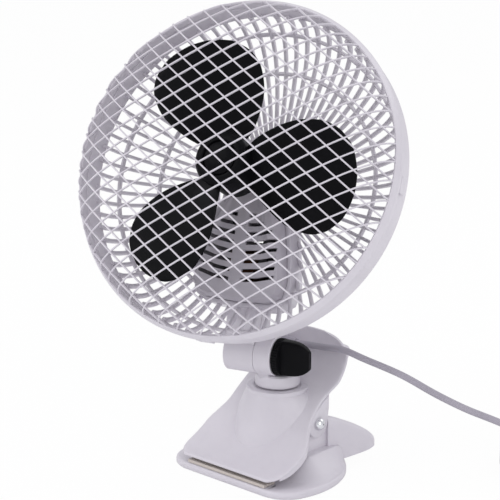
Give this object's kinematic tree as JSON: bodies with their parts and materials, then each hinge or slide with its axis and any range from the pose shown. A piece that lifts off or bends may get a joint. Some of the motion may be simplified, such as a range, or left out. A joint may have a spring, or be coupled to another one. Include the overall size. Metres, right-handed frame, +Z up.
{
  "type": "clip fan",
  "caption": "Caged desk fan on a spring clamp: domed diamond mesh guard, three blades, slotted motor pod, tilting neck, swivel turret and a coiled power cord.",
  "frame": {"origin": "centre of the round foot's underside, on the table", "axes": "+Z up, -Y out of the clamp's mouth, X along the clamp's pin"},
  "size_m": [0.2509, 0.2467, 0.26],
  "materials": {
    "white_plastic": "satin white moulded plastic",
    "black_plastic": "glossy black moulded plastic",
    "rubber": "matt soft grip rubber",
    "steel": "plated steel",
    "laminated_steel": "stacked core sheets",
    "copper_winding": "enamelled copper wire",
    "cord_sheath": "soft grey vinyl",
    "brass": "plated brass"
  },
  "bodies": {
    "foot": {"lower_jaw": "white_plastic", "lower_pad": "rubber", "clamp_pin": "steel", "torsion_spring": "steel", "cord_run": "cord_sheath", "cord_coil": "cord_sheath", "plug_body": "cord_sheath", "plug_pin_left": "brass", "plug_pin_right": "brass"},
    "jaw": {"upper_jaw": "white_plastic", "upper_pad": "rubber", "strain_relief": "cord_sheath", "cord_lead": "cord_sheath", "rear_cover": "white_plastic", "switch_body": "black_plastic"},
    "speed_knob": {"switch_knob": "black_plastic"},
    "swivel_turret": {"turret": "white_plastic", "swivel_washer": "steel", "swivel_screw": "steel", "tilt_bolt": "steel"},
    "lock_knob": {"tilt_knob": "black_plastic"},
    "head": {"front_guard": "white_plastic", "rear_grille": "white_plastic", "motor_cover": "white_plastic", "motor_case": "white_plastic", "neck_cover": "white_plastic", "stator_core": "laminated_steel", "stator_coil": "copper_winding", "front_bearing": "steel", "rear_bearing": "steel", "rim_clip_1": "white_plastic", "rim_clip_2": "white_plastic", "rim_clip_3": "white_plastic", "rim_clip_4": "white_plastic"},
    "rotor": {"fan_rotor": "black_plastic", "hub_cap": "black_plastic", "motor_shaft": "steel", "rotor_core": "laminated_steel"}
  },
  "joints": [
    {"name": "clamp_hinge", "type": "hinge", "parent": "foot", "child": "jaw", "pos_m": [0, 0.02, 0.03], "axis": [-1, 0, 0], "range_deg": [0, 22], "stiffness_Nm_per_rad": 1.2, "springref_deg": -51.57},
    {"name": "swivel", "type": "hinge", "parent": "jaw", "child": "swivel_turret", "pos_m": [0, 0.019, 0.05], "axis": [0, 0, 1], "range_deg": [-44, 25]},
    {"name": "tilt", "type": "hinge", "parent": "swivel_turret", "child": "head", "pos_m": [0.00258, 0.01038, 0.0663], "axis": [-0.958, -0.2869, 0], "range_deg": [-40, 25]},
    {"name": "lock_turn", "type": "hinge", "parent": "swivel_turret", "child": "lock_knob", "pos_m": [0.01216, 0.01325, 0.0663], "axis": [0.958, 0.2869, 0], "range_deg": [0, 270]},
    {"name": "fan_spin", "type": "hinge", "parent": "head", "child": "rotor", "pos_m": [-0.00807, -0.00773, 0.17426], "axis": [0.2596, -0.8668, 0.4258], "continuous": true},
    {"name": "speed_turn", "type": "hinge", "parent": "jaw", "child": "speed_knob", "pos_m": [0, 0.0434, 0.0614], "axis": [0, 0.8829, -0.4695], "range_deg": [0, 90]}
  ]
}
